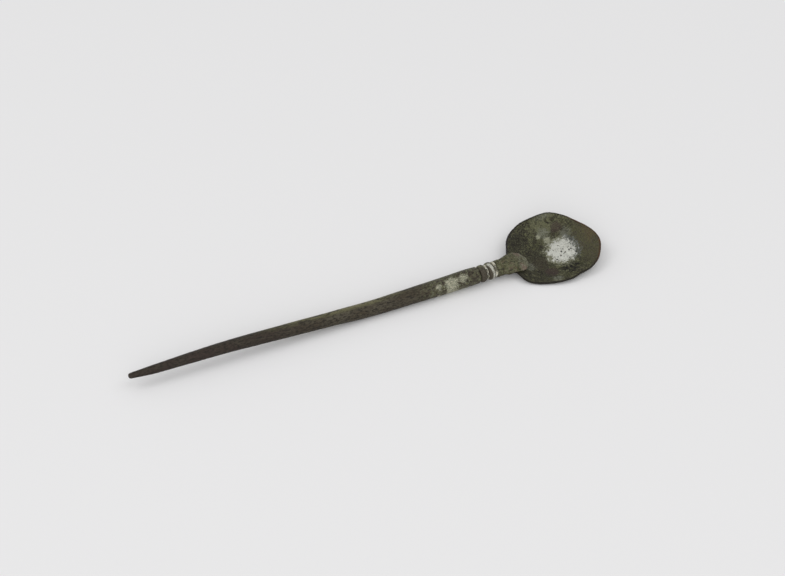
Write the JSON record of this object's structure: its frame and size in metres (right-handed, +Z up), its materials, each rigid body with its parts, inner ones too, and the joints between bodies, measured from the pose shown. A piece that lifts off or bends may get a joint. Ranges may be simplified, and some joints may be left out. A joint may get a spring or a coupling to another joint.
{
  "type": "bronze scoop",
  "caption": "Slender bronze scoop: a long tapering, gently bent stem with a blunt point, a beaded collar, a short neck and a small shallow round bowl with a pale crust.",
  "frame": {"origin": "on the table under the middle of the scoop's bounding box, as it lies at rest", "axes": "+X along the stem from the point towards the bowl, +Y across the scoop, +Z up through the open side of the bowl"},
  "size_m": [0.1156, 0.0218, 0.0051],
  "materials": {
    "bronze_stem": "dark brown-grey bronze patina, smooth and worn, olive in places",
    "bronze_bead": "brown and olive bronze patina with pale residue in the hollows",
    "pale_ring": "chalky whitened tin-lead metal, matte",
    "bronze_neck": "rough granular olive-green bronze corrosion",
    "bronze_bowl": "mottled olive, grey-green and brown bronze patina with a dark thin rim",
    "mineral_crust": "pitted chalky white crust, matte"
  },
  "bodies": {
    "root": {"stem": "bronze_stem", "collar_bead_rear": "bronze_bead", "collar_ring_rear": "pale_ring", "collar_bead_front": "bronze_bead", "collar_ring_front": "pale_ring", "neck": "bronze_neck", "bowl": "bronze_bowl", "bowl_crust": "mineral_crust"}
  },
  "joints": []
}
